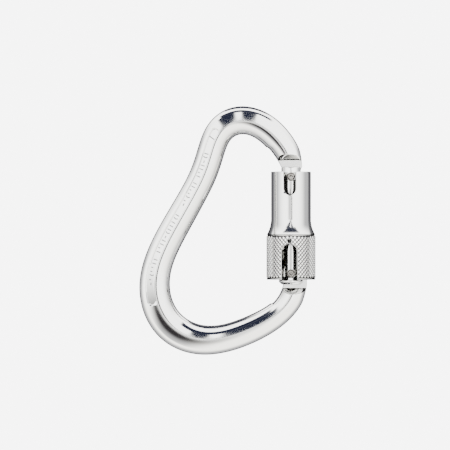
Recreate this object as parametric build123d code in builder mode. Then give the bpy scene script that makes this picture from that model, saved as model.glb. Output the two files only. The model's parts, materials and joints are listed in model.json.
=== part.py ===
from build123d import *

import os
from math import cos, radians, sin

# Locking carabiner, in millimetres. +Z is up along the closed gate, +X points from the spine to
# the gate, and Y is the thickness. The origin is the crown of the upper basket, where a rope or
# an anchor bears. Everything about the gate is measured from the hinge pin.
PIVOT = (22.6, 0, -65.5)
FRONT = Plane(PIVOT, x_dir=(1, 0, 0), z_dir=(0, -1, 0))  # x to the gate, y up, from the hinge pin
SIDE = Plane(PIVOT, x_dir=(0, 1, 0), z_dir=(1, 0, 0))  # x across the thickness, y up
GATE = Plane(PIVOT)  # across the gate, at the height of the hinge pin
GATE_AXIS = Axis(PIVOT, (0, 0, 1))

# Body: a bar bent round these stations, from the nose over the top and the spine to the hinge.
# Each is (x, height, width of the bar in the plane of the carabiner).
STATIONS = [
    (0.3, 49.9, 9.6),
    (-2.4, 57.1, 12.0),
    (-7.2, 63.8, 13.0),
    (-13.7, 69.2, 13.2),
    (-21.3, 71.8, 13.3),
    (-27.8, 71.0, 13.4),
    (-32.8, 67.3, 13.1),
    (-36.7, 59.6, 12.9),
    (-39.9, 49.7, 12.9),
    (-44.5, 39.5, 12.8),
    (-49.6, 30.2, 13.1),
    (-54.6, 21.4, 13.4),
    (-59.2, 12.5, 13.6),
    (-62.6, 3.7, 13.9),
    (-63.9, -4.9, 14.4),
    (-63.1, -12.9, 14.8),
    (-60.0, -20.2, 15.0),
    (-54.8, -26.0, 15.0),
    (-48.2, -29.7, 14.6),
    (-40.4, -31.2, 13.9),
    (-31.4, -30.4, 13.3),
    (-22.4, -27.6, 13.0),
    (-13.9, -23.7, 12.6),
    (-6.4, -18.9, 11.9),
    (-0.7, -12.3, 11.4),
    (1.9, -5.2, 11.0),
]
BODY_DEPTH = 10.5
ROPE_RADIUS = 4.9  # rounding of the inner edges, where a rope runs
BACK_RADIUS = 2.6  # rounding of the outer edges
PANEL_DEPTH = 0.25  # recess for markings on the flat of the spine
PANEL_STATIONS = slice(6, 16)
PANEL_EDGES = (0.55, -0.1)  # outer and inner edge, as parts of the half width

# Nose: a flat tang that enters the gate and hooks over the latch rivet.
NOSE_TANG = 3.6
NOSE_SHOULDER = 53.0
SHOULDER_RISE = 3.0  # height of the milled slope between a tang and the full thickness
MILL_REACH = 12.0  # half length of the milling cuts, past both sides of the bar
NOSE_TIP = 40.6
LATCH_HEIGHT = 45.4
RIVET_RADIUS = 1.5
RIVET_INSET = 0.1
RIVET_ROUND = 0.3
LATCH_CLEARANCE = 0.1

# Hinge: a flat tang with a round cam, off the pin's centre, that lifts the plunger.
HINGE_TANG = 3.4
HINGE_SHOULDER = -6.8
HINGE_CLEARANCE = 0.05
CAM_OFFSET = 2.0
CAM_RADIUS = 4.6
HEEL = 7.5

# Gate barrel
GATE_RADIUS = 5.0
GATE_TOP = 50.0
GATE_FOOT = -5.1
FOOT_RADIUS = 6.1
SLOT_CLEARANCE = 0.3
LATCH_SLOT_FLOOR = 38.4
HINGE_SLOT_TOP = 6.6
SPRING_BORE = 2.9
BORE_TOP = 30.0

# Closing plunger and spring
PLUNGER_RADIUS = 2.84
PLUNGER_GAP = 0.02
PLUNGER_HEAD = 4.5
STEM_RADIUS = 1.3
STEM_LENGTH = 6.0
CLOSING_WIRE_RADIUS = 0.4
CLOSING_COIL_RADIUS = 2.25
CLOSING_TURNS = 9

# Sleeve: it turns on two bushes, and its rib is trapped under the upper one.
SLEEVE_FOOT = -2.9
SLEEVE_TOP = 47.8
GRIP_RADIUS = 11.55
GRIP_TOP = 18.2
FLARE_TOP = 25.6
NECK_RADIUS = 9.4
SLEEVE_BORE = 8.5
SKIRT_BORE = 9.6
SKIRT_TOP = 13.9
RIB_BORE = 6.3
RIB_FLOOR = 31.0
RIB_TOP = 33.0
SLEEVE_SET = -4.3  # degrees that the sleeve's openings stand round from the front, locked
NOTCH_WIDTH = 6.3
NOTCH_FLOOR = 36.7
ARCH_WIDTH = 7.8
ARCH_TOP = 13.8
GAP_START = 1.3  # degrees round from +X, towards the back, where the wall stops
GAP_END = 106.0
DOWEL_HEIGHT = 15.2
PIN_HOLE = 0.95

# Bushes and small parts on the gate, each (bottom, top)
FIT = 0.08
BUSH_RADIUS = SLEEVE_BORE - FIT
WASHER_RADIUS = 8.1
LOWER_BUSH = (14.1, 17.1)
UPPER_BUSH = (33.1, 35.0)
THRUST_WASHER = (29.9, 30.9)
RETAINING_RING = (35.1, 35.9)
GROOVE_RADIUS = 4.4
RING_RADIUS = 6.2
RING_GAP = 70.0  # degrees left open in the snap ring
DOWEL_RADIUS = 0.75
DOWEL_START = 3.05  # distance of its inner end from the axis
DOWEL_LENGTH = 5.1
SLEEVE_WIRE_RADIUS = 0.55
SLEEVE_COIL_RADIUS = 6.7
SLEEVE_TURNS = 6
SPRING_END = 0.1


centre_line = Spline(*[(x, height) for x, height, width in STATIONS])


def rail(part, stations=slice(None)):
    """Points along the bar at a part of its half width: 1 is its back, -1 its rope side."""
    points = []
    for x, height, width in STATIONS[stations]:
        along = centre_line.tangent_at(centre_line.param_at_point((x, height)))
        reach = part * width / 2
        points.append((x + reach * along.Y, height - reach * along.X))
    return points


def mill_shoulder(foot, rise, tang, end):
    """Profile, on SIDE, of what is milled off one face beside a tang, up to its end."""
    half, full = tang / 2, BODY_DEPTH / 2
    Polyline((half, end), (half, foot), (full, foot + rise), (2 * full, foot + rise),
             (2 * full, end), close=True)


def round_plane(azimuth, height):
    """Plane that looks outwards from the gate's axis; its x is round the sleeve."""
    turn = radians(azimuth)
    outward = (cos(turn), sin(turn), 0)
    origin = (PIVOT[0], PIVOT[1], PIVOT[2] + height)
    return Plane(origin, x_dir=(-sin(turn), cos(turn), 0), z_dir=outward)


# Body: the bar, milled to a tang at both ends.
with BuildPart() as body:
    with BuildSketch(FRONT):
        with BuildLine():
            back = Spline(*rail(1))
            rope_side = Spline(*rail(-1))
            Line(back @ 0, rope_side @ 0)
            Line(back @ 1, rope_side @ 1)
        make_face()
    extrude(amount=BODY_DEPTH / 2, both=True)
    rims = body.faces().filter_by(Axis.Y).edges().filter_by(GeomType.BSPLINE)
    fillet(rims.sort_by(SortBy.LENGTH)[:2], radius=ROPE_RADIUS)
    rims = body.faces().filter_by(Axis.Y).edges().filter_by(GeomType.BSPLINE)
    fillet(rims.sort_by(SortBy.LENGTH)[-2:], radius=BACK_RADIUS)

    with BuildSketch(SIDE):
        with BuildLine():
            mill_shoulder(NOSE_SHOULDER, SHOULDER_RISE, NOSE_TANG, NOSE_TIP)
        make_face()
        with BuildLine():
            mill_shoulder(HINGE_SHOULDER, -SHOULDER_RISE, HINGE_TANG, CAM_RADIUS)
        make_face()
        mirror(about=Plane.YZ)
    extrude(amount=MILL_REACH, both=True, mode=Mode.SUBTRACT)

    with BuildSketch(FRONT):
        with BuildLine():
            Polyline((5, 54), (5.1, 49.8), (4.2, 47.6), (4.2, NOSE_TIP), (-0.9, NOSE_TIP),
                     (-1.9, 42.2), (-1.9, 48.2), (-4.5, 50.2), (-5.2, 54), close=True)
        nose = make_face()
        fillet(nose.vertices().group_by(Axis.Y)[0], radius=1.2)
        with Locations((0, LATCH_HEIGHT)):
            Circle(RIVET_RADIUS + LATCH_CLEARANCE, mode=Mode.SUBTRACT)
            Rectangle(10, 2 * (RIVET_RADIUS + LATCH_CLEARANCE), align=(Align.MAX, Align.CENTER),
                      mode=Mode.SUBTRACT)
    extrude(amount=NOSE_TANG / 2, both=True)

    with BuildSketch(FRONT):
        with BuildLine():
            Polyline((-4.5, -9.5), (7, -9.5), (HEEL, -5), (HEEL, 0), (5.6, 3.2), (0, CAM_RADIUS - 0.6),
                     (-5.5, -3), (-3.6, -5.2), close=True)
        make_face()
        with Locations((-CAM_OFFSET, 0)):
            Circle(CAM_RADIUS)
        Circle(RIVET_RADIUS + HINGE_CLEARANCE, mode=Mode.SUBTRACT)
    extrude(amount=HINGE_TANG / 2, both=True)

    outer_edge, inner_edge = (rail(edge, PANEL_STATIONS) for edge in PANEL_EDGES)
    for depth in (BODY_DEPTH / 2, -BODY_DEPTH / 2):
        with BuildSketch(FRONT.offset(depth)):
            with BuildLine():
                far = Spline(*outer_edge)
                near = Spline(*inner_edge)
                Line(far @ 0, near @ 0)
                Line(far @ 1, near @ 1)
            panel = make_face()
            fillet(panel.vertices(), radius=2)
        extrude(amount=PANEL_DEPTH, both=True, mode=Mode.SUBTRACT)
body.part.label = "body"

# Gate barrel: turned, slotted from both ends and bored from the hinge end.
with BuildPart() as gate_barrel:
    with BuildSketch(FRONT):
        with BuildLine():
            axis_line = Line((0, GATE_FOOT), (0, GATE_TOP))
            Line((0, GATE_TOP), (GATE_RADIUS, GATE_TOP))
            wall = Line((GATE_RADIUS, GATE_TOP), (GATE_RADIUS, -1.6))
            flare = TangentArc(wall @ 1, (FOOT_RADIUS, -3.3), tangent=(0, -1))
            Polyline(flare @ 1, (FOOT_RADIUS, -3.8), (4.8, GATE_FOOT), (0, GATE_FOOT))
        make_face()
    revolve(axis=GATE_AXIS)
    fillet(gate_barrel.edges().group_by(Axis.Z)[-1], radius=0.6)
    with BuildSketch(FRONT):
        with Locations((0, LATCH_SLOT_FLOOR)):
            Rectangle(4 * GATE_RADIUS, GATE_TOP, align=(Align.CENTER, Align.MIN))
    extrude(amount=NOSE_TANG / 2 + SLOT_CLEARANCE, both=True, mode=Mode.SUBTRACT)
    with BuildSketch(FRONT):
        with Locations((0, HINGE_SLOT_TOP)):
            Rectangle(4 * GATE_RADIUS, GATE_TOP, align=(Align.CENTER, Align.MAX))
    extrude(amount=HINGE_TANG / 2 + SLOT_CLEARANCE, both=True, mode=Mode.SUBTRACT)
    with BuildSketch(GATE.offset(GATE_FOOT)):
        Circle(SPRING_BORE)
    extrude(amount=BORE_TOP - GATE_FOOT, mode=Mode.SUBTRACT)
    with BuildSketch(FRONT):
        with Locations((0, 0), (0, LATCH_HEIGHT)):
            Circle(RIVET_RADIUS)
    extrude(amount=2 * GATE_RADIUS, both=True, mode=Mode.SUBTRACT)
    with BuildSketch(GATE.offset(RETAINING_RING[0] - FIT / 2)):
        Circle(GATE_RADIUS + 1)
        Circle(GROOVE_RADIUS, mode=Mode.SUBTRACT)
    extrude(amount=RETAINING_RING[1] - RETAINING_RING[0] + FIT, mode=Mode.SUBTRACT)
    with BuildSketch(round_plane(SLEEVE_SET - 90, DOWEL_HEIGHT)):
        Circle(DOWEL_RADIUS)
    extrude(amount=2 * GATE_RADIUS, mode=Mode.SUBTRACT)
gate_barrel.part.label = "gate_barrel"


def rivet_face(height):
    """Section of a rivet across the gate."""
    with BuildSketch(FRONT) as section:
        with Locations((0, height)):
            Circle(RIVET_RADIUS)
    return section.sketch


# Rivets: their ends stand just below the gate's surface and are rounded.
with BuildPart() as hinge_rivet:
    extrude(rivet_face(0), amount=GATE_RADIUS - RIVET_INSET, both=True)
    fillet(hinge_rivet.edges().filter_by(GeomType.CIRCLE), radius=RIVET_ROUND)
hinge_rivet.part.label = "hinge_rivet"

with BuildPart() as latch_rivet:
    extrude(rivet_face(LATCH_HEIGHT), amount=GATE_RADIUS - RIVET_INSET, both=True)
    fillet(latch_rivet.edges().filter_by(GeomType.CIRCLE), radius=RIVET_ROUND)
latch_rivet.part.label = "latch_rivet"

# Closing plunger: its flat foot rides on the cam of the hinge tang.
with BuildPart() as closing_plunger:
    with BuildSketch(GATE.offset(CAM_RADIUS + PLUNGER_GAP)):
        Circle(PLUNGER_RADIUS)
    extrude(amount=PLUNGER_HEAD)
    with BuildSketch(GATE.offset(CAM_RADIUS + PLUNGER_GAP + PLUNGER_HEAD)):
        Circle(STEM_RADIUS)
    extrude(amount=STEM_LENGTH)
    fillet(closing_plunger.edges().group_by(Axis.Z)[-1], radius=0.4)
closing_plunger.part.label = "closing_plunger"


def winding(bottom, top, turns, wire, radius):
    """Helix up the gate's axis for a spring between two heights, and the section of its wire."""
    rise = top - bottom - 2 * wire
    with BuildLine(GATE.offset(bottom + wire)) as helix:
        Helix(pitch=rise / turns, height=rise, radius=radius)
    with BuildSketch(Plane(helix.line @ 0, z_dir=helix.line % 0)) as section:
        Circle(wire)
    return helix.line, section.sketch


# Springs: a compression spring behind the plunger, and a torsion spring that turns the sleeve.
with BuildPart() as closing_spring:
    path, section = winding(CAM_RADIUS + PLUNGER_GAP + PLUNGER_HEAD, BORE_TOP - SPRING_END,
                            CLOSING_TURNS, CLOSING_WIRE_RADIUS, CLOSING_COIL_RADIUS)
    sweep(section, path=path, is_frenet=True)
closing_spring.part.label = "closing_spring"

with BuildPart() as sleeve_spring:
    path, section = winding(LOWER_BUSH[1] + SPRING_END, THRUST_WASHER[0] - SPRING_END,
                            SLEEVE_TURNS, SLEEVE_WIRE_RADIUS, SLEEVE_COIL_RADIUS)
    sweep(section, path=path, is_frenet=True)
sleeve_spring.part.label = "sleeve_spring"


def ring_face(height, inside, outside):
    """Flat ring round the gate's axis."""
    with BuildSketch(GATE.offset(height)) as band:
        Circle(outside)
        Circle(inside, mode=Mode.SUBTRACT)
    return band.sketch


# Rings on the gate: two bushes that the sleeve turns on, a thrust washer and a snap ring.
with BuildPart() as lower_bush:
    extrude(ring_face(LOWER_BUSH[0], GATE_RADIUS, BUSH_RADIUS), amount=LOWER_BUSH[1] - LOWER_BUSH[0])
    with BuildSketch(round_plane(SLEEVE_SET - 90, DOWEL_HEIGHT)):
        Circle(DOWEL_RADIUS)
    extrude(amount=2 * BUSH_RADIUS, mode=Mode.SUBTRACT)
lower_bush.part.label = "lower_bush"

with BuildPart() as upper_bush:
    extrude(ring_face(UPPER_BUSH[0], GATE_RADIUS, BUSH_RADIUS), amount=UPPER_BUSH[1] - UPPER_BUSH[0])
upper_bush.part.label = "upper_bush"

with BuildPart() as thrust_washer:
    extrude(ring_face(THRUST_WASHER[0], GATE_RADIUS + FIT, WASHER_RADIUS),
            amount=THRUST_WASHER[1] - THRUST_WASHER[0])
thrust_washer.part.label = "thrust_washer"

with BuildPart() as retaining_ring:
    extrude(ring_face(RETAINING_RING[0], GROOVE_RADIUS, RING_RADIUS),
            amount=RETAINING_RING[1] - RETAINING_RING[0])
    with BuildSketch(GATE.offset(RETAINING_RING[0])):
        with BuildLine():
            run = 2 * RING_RADIUS * cos(radians(RING_GAP / 2))
            rise = 2 * RING_RADIUS * sin(radians(RING_GAP / 2))
            Polyline((0, 0), (-run, rise), (-run, -rise), close=True)
        make_face()
    extrude(amount=RETAINING_RING[1] - RETAINING_RING[0], mode=Mode.SUBTRACT)
retaining_ring.part.label = "retaining_ring"

# Dowel that holds the lower bush, driven in through the small hole in the sleeve.
with BuildPart() as bush_dowel:
    with BuildSketch(round_plane(SLEEVE_SET - 90, DOWEL_HEIGHT).offset(DOWEL_START)):
        Circle(DOWEL_RADIUS)
    extrude(amount=DOWEL_LENGTH)
bush_dowel.part.label = "bush_dowel"

# Sleeve: turned, then notched in front, cut away at the back for the nose, and arched below.
with BuildPart() as lock_sleeve:
    with BuildSketch(FRONT):
        with BuildLine():
            neck = Line((NECK_RADIUS, SLEEVE_TOP), (NECK_RADIUS, FLARE_TOP))
            TangentArc(neck @ 1, (GRIP_RADIUS, GRIP_TOP), tangent=(0, -1))
            Polyline((GRIP_RADIUS, GRIP_TOP), (GRIP_RADIUS, SLEEVE_FOOT), (SKIRT_BORE, SLEEVE_FOOT),
                     (SKIRT_BORE, SKIRT_TOP), (SLEEVE_BORE, SKIRT_TOP), (SLEEVE_BORE, RIB_FLOOR),
                     (RIB_BORE, RIB_FLOOR), (RIB_BORE, RIB_TOP), (SLEEVE_BORE, RIB_TOP),
                     (SLEEVE_BORE, SLEEVE_TOP), neck @ 0)
        make_face()
    revolve(axis=GATE_AXIS)
    rim = lock_sleeve.edges().filter_by(GeomType.CIRCLE).group_by(Axis.Z)
    fillet(rim[-1].sort_by(SortBy.RADIUS)[-1], radius=0.5)
    chamfer(rim[0].sort_by(SortBy.RADIUS)[-1], length=0.5)
    with BuildSketch(round_plane(SLEEVE_SET - 90, NOTCH_FLOOR + NOTCH_WIDTH / 2)):
        Circle(NOTCH_WIDTH / 2)
        Rectangle(NOTCH_WIDTH, SLEEVE_TOP, align=(Align.CENTER, Align.MIN))
    extrude(amount=2 * GRIP_RADIUS, mode=Mode.SUBTRACT)
    with BuildSketch(round_plane(SLEEVE_SET - 90, ARCH_TOP - ARCH_WIDTH / 2)):
        Circle(ARCH_WIDTH / 2)
        Rectangle(ARCH_WIDTH, SLEEVE_TOP, align=(Align.CENTER, Align.MAX))
    extrude(amount=2 * GRIP_RADIUS, both=True, mode=Mode.SUBTRACT)
    with BuildSketch(GATE.offset(NOTCH_FLOOR)):
        with BuildLine():
            reach = 2 * GRIP_RADIUS
            first, last = radians(GAP_START), radians(GAP_END)
            Polyline((0, 0), (reach * cos(first), reach * sin(first)), (reach, 2 * reach),
                     (reach * cos(last), reach * sin(last)), close=True)
        make_face()
    extrude(amount=SLEEVE_TOP, mode=Mode.SUBTRACT)
    with BuildSketch(round_plane(SLEEVE_SET - 90, DOWEL_HEIGHT)):
        Circle(PIN_HOLE)
    extrude(amount=2 * GRIP_RADIUS, mode=Mode.SUBTRACT)
lock_sleeve.part.label = "lock_sleeve"

# One STEP file for each piece
os.makedirs("parts", exist_ok=True)
export_step(body.part, "parts/body.step")
export_step(gate_barrel.part, "parts/gate_barrel.step")
export_step(hinge_rivet.part, "parts/hinge_rivet.step")
export_step(latch_rivet.part, "parts/latch_rivet.step")
export_step(closing_plunger.part, "parts/closing_plunger.step")
export_step(closing_spring.part, "parts/closing_spring.step")
export_step(lock_sleeve.part, "parts/lock_sleeve.step")
export_step(sleeve_spring.part, "parts/sleeve_spring.step")
export_step(lower_bush.part, "parts/lower_bush.step")
export_step(upper_bush.part, "parts/upper_bush.step")
export_step(thrust_washer.part, "parts/thrust_washer.step")
export_step(retaining_ring.part, "parts/retaining_ring.step")
export_step(bush_dowel.part, "parts/bush_dowel.step")
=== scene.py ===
"""Locking carabiner: the bar, gate, latch and quarter-turn sleeve as surfaces of two parameters."""

import functools
import json

import bmesh
import bpy
import numpy as np
from bpy.props import FloatProperty, FloatVectorProperty, IntProperty, PointerProperty
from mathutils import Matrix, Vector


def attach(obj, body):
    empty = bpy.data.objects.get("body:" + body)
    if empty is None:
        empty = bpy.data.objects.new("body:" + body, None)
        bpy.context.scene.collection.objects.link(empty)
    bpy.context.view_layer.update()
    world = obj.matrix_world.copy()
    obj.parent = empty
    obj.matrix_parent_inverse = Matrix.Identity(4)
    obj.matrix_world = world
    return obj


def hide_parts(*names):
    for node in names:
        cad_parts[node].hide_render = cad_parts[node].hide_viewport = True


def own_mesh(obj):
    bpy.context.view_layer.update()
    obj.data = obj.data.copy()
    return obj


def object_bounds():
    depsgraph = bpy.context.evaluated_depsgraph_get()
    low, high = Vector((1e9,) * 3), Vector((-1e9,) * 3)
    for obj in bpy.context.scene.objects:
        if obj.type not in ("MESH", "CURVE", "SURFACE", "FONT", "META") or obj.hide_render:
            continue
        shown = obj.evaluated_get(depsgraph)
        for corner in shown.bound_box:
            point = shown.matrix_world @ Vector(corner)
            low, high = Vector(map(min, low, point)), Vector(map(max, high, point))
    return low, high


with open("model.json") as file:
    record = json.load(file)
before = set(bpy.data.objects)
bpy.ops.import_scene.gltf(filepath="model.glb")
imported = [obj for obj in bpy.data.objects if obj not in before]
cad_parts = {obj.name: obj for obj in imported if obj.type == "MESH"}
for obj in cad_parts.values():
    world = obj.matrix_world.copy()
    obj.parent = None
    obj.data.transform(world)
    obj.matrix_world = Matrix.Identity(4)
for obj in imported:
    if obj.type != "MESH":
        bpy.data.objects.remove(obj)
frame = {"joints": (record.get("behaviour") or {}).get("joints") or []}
CAD_BOX = [list(corner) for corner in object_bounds()]

bl_info = {
    "name": "Locking carabiner",
    "version": (1, 0, 0),
    "blender": (4, 5, 0),
    "location": "View3D > Sidebar > Carabiner",
    "description": "Bar, gate, latch and locking sleeve of a large carabiner",
    "category": "Add Mesh",
}

MM = 0.001
JOINTS = {joint["name"]: joint for joint in frame["joints"]}
PIVOT = np.array(JOINTS["gate_swing"]["pos_m"]) / MM  # hinge pin, in mm

# Middle line of the bar from the nose over the top to the hinge: x, height above the hinge pin
# and width of the bar, in mm.
STATIONS = np.array([
    (0.3, 49.9, 9.6), (-2.4, 57.1, 12.0), (-7.2, 63.8, 13.0), (-13.7, 69.2, 13.2),
    (-21.3, 71.8, 13.3), (-27.8, 71.0, 13.4), (-32.8, 67.3, 13.1), (-36.7, 59.6, 12.9),
    (-39.9, 49.7, 12.9), (-44.5, 39.5, 12.8), (-49.6, 30.2, 13.1), (-54.6, 21.4, 13.4),
    (-59.2, 12.5, 13.6), (-62.6, 3.7, 13.9), (-63.9, -4.9, 14.4), (-63.1, -12.9, 14.8),
    (-60.0, -20.2, 15.0), (-54.8, -26.0, 15.0), (-48.2, -29.7, 14.6), (-40.4, -31.2, 13.9),
    (-31.4, -30.4, 13.3), (-22.4, -27.6, 13.0), (-13.9, -23.7, 12.6), (-6.4, -18.9, 11.9),
    (-0.7, -12.3, 11.4), (1.9, -5.2, 11.0),
])


def linear(hex_colour):
    """An sRGB hex colour as linear red, green and blue."""
    values = np.array([int(hex_colour[i:i + 2], 16) for i in (1, 3, 5)]) / 255
    return tuple(np.where(values <= 0.04045, values / 12.92, ((values + 0.055) / 1.055) ** 2.4))


def size(name, default, description):
    """A length in millimetres that a user can change."""
    return FloatProperty(name=name, default=default, description=description + ", in mm", precision=2)


def colour(name, default, description):
    """A surface colour that a user can change."""
    return FloatVectorProperty(name=name, default=linear(default), description=description,
                               subtype="COLOR", size=3, min=0, max=1)


class BarSizes(bpy.types.PropertyGroup):
    depth: size("Thickness", 10.46, "Front to back over the ridge")
    ridge: FloatProperty(name="Ridge place", default=-0.06, precision=2, description="Ridge across the "
                         "bar, as a part of its half width")
    face_fall: size("Face fall", 0.7, "How much lower the outer face is at its back edge")
    back_round: size("Back rounding", 3.4, "Radius of the back edges")
    nose_tang: size("Nose tang", 3.6, "Thickness of the hook")
    hinge_tang: size("Hinge tang", 3.4, "Thickness at the hinge pin")
    panel_depth: size("Panel depth", 0.26, "Depth of the recess for markings")


class GateSizes(bpy.types.PropertyGroup):
    radius: size("Radius", 5.0, "Radius of the barrel")
    top: size("Top", 50.0, "Height of the top above the hinge pin")
    foot: size("Foot", -5.1, "Height of the foot above the hinge pin")
    rivet: size("Rivet radius", 1.5, "Radius of both rivets")
    latch: size("Latch height", 45.4, "Height of the latch rivet")
    segments: IntProperty(name="Segments", default=160, description="Faces round a turned piece")


class SleeveSizes(bpy.types.PropertyGroup):
    neck: size("Neck radius", 9.38, "Radius of the smooth upper part")
    grip: size("Grip radius", 11.29, "Radius at the bottom of the knurl")
    knurl: size("Knurl height", 0.25, "Height of the knurl's diamonds")
    land: FloatProperty(name="Knurl land", default=0.5, description="Width of a diamond's flat top, as "
                        "a part of the space between two grooves")
    columns: IntProperty(name="Knurl columns", default=40, description="Points round the grip")
    top: size("Top", 47.8, "Height of the rim above the hinge pin")
    foot: size("Foot", -2.9, "Height of the lower edge above the hinge pin")
    grip_top: size("Grip top", 18.2, "Height where the knurl ends")
    flare_top: size("Flare top", 25.6, "Height where the neck starts")
    bore: size("Bore", 8.5, "Radius of the bore")
    skirt: size("Skirt bore", 9.6, "Radius of the bore below")
    turn: FloatProperty(name="Turn", default=np.radians(-94.3), subtype="ANGLE",
                        description="Where the sleeve's notch stands when it is locked")


class Finishes(bpy.types.PropertyGroup):
    aluminium: colour("Aluminium", "#E4E4E2", "Polished and clear anodised aluminium")
    steel: colour("Steel", "#8F8C88", "Stainless steel of the rivets")
    spring: colour("Spring", "#8C8C90", "Drawn spring wire")
    brass: colour("Brass", "#D2AA62", "Turned brass")
    acetal: colour("Acetal", "#1B1B1D", "Black acetal of the bushes")
    etched: colour("Etched", "#7C7C7E", "Etched bottom of the marks")
    floor: colour("Floor", "#F2F1EE", "Pale floor")


class StageSizes(bpy.types.PropertyGroup):
    drop: FloatProperty(name="Floor drop", default=0.09, unit="LENGTH",
                        description="Height that the carabiner is held above the floor")
    distance: FloatProperty(name="Camera distance", default=4.0, unit="LENGTH",
                            description="From the camera to the carabiner")
    width: FloatProperty(name="View width", default=0.21105, unit="LENGTH",
                         description="Width of what the camera sees at the carabiner")
    aim: FloatVectorProperty(name="Camera aim", default=tuple((PIVOT + (-30.95, 0, 22.75)) * MM),
                             size=3, subtype="TRANSLATION", description="The middle of the view")


# Materials


def add_node(tree, kind, links=None, **settings):
    """One node with its settings; links maps its inputs to values or to other nodes' outputs."""
    node = tree.nodes.new(kind)
    for name, value in settings.items():
        setattr(node, name, value)
    for name, value in (links or {}).items():
        if isinstance(value, bpy.types.NodeSocket):
            tree.links.new(value, node.inputs[name])
        else:
            node.inputs[name].default_value = value
    return node


def worked_out(tree, operation, *values, kind="ShaderNodeMath", output=0):
    """What a mathematical node gives for values and other nodes' outputs."""
    return add_node(tree, kind, dict(enumerate(values)), operation=operation).outputs[output]


def ramp(tree, value, start, end, low, high, **settings):
    """A value carried from start..end to low..high, and held beyond both ends."""
    sockets = {"Value": value, "From Min": start, "From Max": end, "To Min": low, "To Max": high}
    return add_node(tree, "ShaderNodeMapRange", sockets, **settings).outputs["Result"]


def add_mix(tree, factor, one, two):
    """The output of a node that mixes two colours; the sockets of a colour mix go by number."""
    one, two = (shade if isinstance(shade, bpy.types.NodeSocket) else (*shade, 1)
                for shade in (one, two))
    return add_node(tree, "ShaderNodeMix", {0: factor, 6: one, 7: two}, data_type="RGBA").outputs[2]


def blank(name):
    """A new material: its nodes, its shader, and the place of each point in the object."""
    material = bpy.data.materials.new(name)
    material.use_nodes = True
    tree = material.node_tree
    place = add_node(tree, "ShaderNodeTexCoord").outputs["Object"]
    return tree, tree.nodes["Principled BSDF"], place


# SMUDGE_SHADE darkens random smudges; GROOVE_SHADE is painted shade at the bottom of the knurl's grooves
SMUDGE_MM, SMUDGE_SHADE, GROOVE_SHADE = 14, 0.86, 0.06
EDGE_TINT = (0.03, 0.03, 0.035, 1.0)  # darkens a metal's mirror where it turns away from the eye
EVEN, LATHE = (1, 1, 1), (0.02, 0.02, 1)


def metal(name, base, roughness, spread, bump_height, stretch, grain_mm, grooves=None):
    """A metal whose fine grain, grain_mm apart, varies its roughness by spread and its height.

    stretch turns the even grain into lathe lines: the larger a number, the finer the grain
    along that axis. grooves gives two radii about the gate's axis, in mm: painted shade makes
    the metal dark at the first and fades out by the second, and inside the first it isn't a
    groove but the bore.
    """
    tree, shader, place = blank(name)
    grain_place = add_node(tree, "ShaderNodeMapping", {
        "Vector": place, "Location": tuple(-PIVOT * MM * np.array(stretch)), "Scale": stretch})
    grain = add_node(tree, "ShaderNodeTexNoise", {
        "Vector": grain_place.outputs["Vector"], "Scale": 1 / (grain_mm * MM),
        "Detail": 3.0, "Roughness": 0.55}).outputs["Fac"]
    smudges = add_node(tree, "ShaderNodeTexNoise", {
        "Vector": place, "Scale": 1 / (SMUDGE_MM * MM), "Detail": 2.0}).outputs["Fac"]
    rough = ramp(tree, worked_out(tree, "ADD", grain, smudges), 0.6, 1.4,
                 roughness - spread, roughness + spread)
    tint = ramp(tree, smudges, 0.3, 0.7, 0.96, 1.0)
    shade = add_mix(tree, tint, [SMUDGE_SHADE * value for value in base], base)
    # painted shade: the deeper a point lies in the knurl's grooves, the darker its colour
    if grooves:
        vector = {"kind": "ShaderNodeVectorMath"}
        from_axis = worked_out(tree, "ADD", place, tuple(-PIVOT * MM), **vector)
        level = worked_out(tree, "MULTIPLY", from_axis, (1.0, 1.0, 0.0), **vector)
        radius = worked_out(tree, "LENGTH", level, output="Value", **vector)
        bore = worked_out(tree, "LESS_THAN", radius, (grooves[0] - 0.05) * MM)
        height = ramp(tree, radius, grooves[0] * MM, grooves[1] * MM, 0.0, 1.0)
        unshaded = worked_out(tree, "MAXIMUM", height, bore)
        shade = add_mix(tree, unshaded, [GROOVE_SHADE * value for value in base], shade)
    bump = add_node(tree, "ShaderNodeBump", {
        "Height": grain, "Strength": 1.0, "Distance": bump_height * MM}).outputs["Normal"]
    shader.inputs["Metallic"].default_value = 1.0
    shader.inputs["Specular Tint"].default_value = EDGE_TINT
    for socket, value in (("Base Color", shade), ("Roughness", rough), ("Normal", bump)):
        tree.links.new(value, shader.inputs[socket])


def plastic(name, base, roughness, grain_mm):
    """A moulded plastic with a faint mould texture, grain_mm across."""
    tree, shader, place = blank(name)
    texture = add_node(tree, "ShaderNodeTexNoise", {"Vector": place, "Scale": 1 / (grain_mm * MM)})
    rough = ramp(tree, texture.outputs["Fac"], 0.0, 1.0, roughness - 0.08, roughness + 0.08)
    shader.inputs["Base Color"].default_value = (*base, 1)
    tree.links.new(rough, shader.inputs["Roughness"])


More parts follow.
